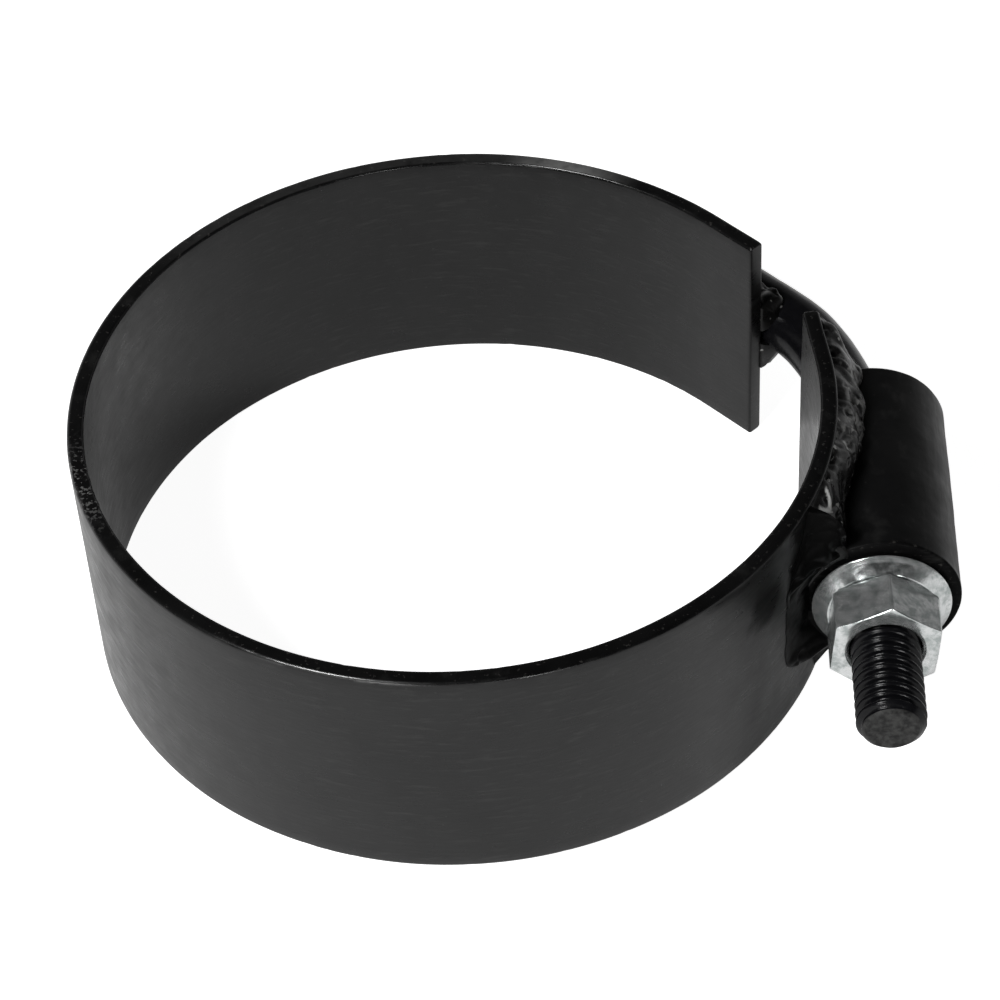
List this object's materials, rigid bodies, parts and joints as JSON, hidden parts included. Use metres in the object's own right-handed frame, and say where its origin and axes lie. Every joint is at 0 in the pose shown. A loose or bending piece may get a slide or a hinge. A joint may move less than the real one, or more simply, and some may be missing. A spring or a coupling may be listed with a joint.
{
  "type": "hose clamp",
  "caption": "Heavy welded steel band clamp for a hose or pipe: a flat-bar ring drawn shut by a bent stud and nut through a barrel.",
  "frame": {"origin": "centre of the bounding box on the plane of the band's lower edge, which the clamp stands on", "axes": "+Z along the ring's axis; +X from the ring towards the barrel; +Y along the stud, from its threaded tip towards the barrel"},
  "size_m": [0.1226, 0.1064, 0.0368],
  "materials": {
    "black_paint": "satin black paint",
    "painted_weld": "satin black paint over weld",
    "stud_black": "black oxide, matte on the end",
    "zinc_plate": "bright zinc plate"
  },
  "bodies": {
    "barrel_end": {"band_near_half": "black_paint", "barrel": "black_paint", "barrel_weld_top": "painted_weld", "barrel_weld_bottom": "painted_weld"},
    "stud_end": {"band_far_half": "black_paint", "threaded_stud": "stud_black", "stud_weld_top": "painted_weld", "stud_weld_bottom": "painted_weld"},
    "washer": {"nut_washer": "zinc_plate"},
    "nut": {"hex_nut": "zinc_plate"}
  },
  "joints": [
    {"name": "band_close", "type": "hinge", "parent": "barrel_end", "child": "stud_end", "pos_m": [-0.05988, -0.00505, 0.0184], "axis": [0, 0, -1], "range_deg": [-2.5, 2.1]},
    {"name": "nut_travel", "type": "slide", "parent": "stud_end", "child": "washer", "axis": [0, 1, 0], "range_m": [-0.0048, 0.004]},
    {"name": "nut_turn", "type": "hinge", "parent": "washer", "child": "nut", "pos_m": [0.05033, -0.02885, 0.0184], "axis": [0, 1, 0], "range_deg": [-1080, 900]}
  ],
  "couplings": [
    {"joint": "nut_travel", "follows": "nut_turn", "m_per_rad": 0.00025266},
    {"joint": "band_close", "follows": "nut_turn", "ratio": 0.0022926}
  ]
}
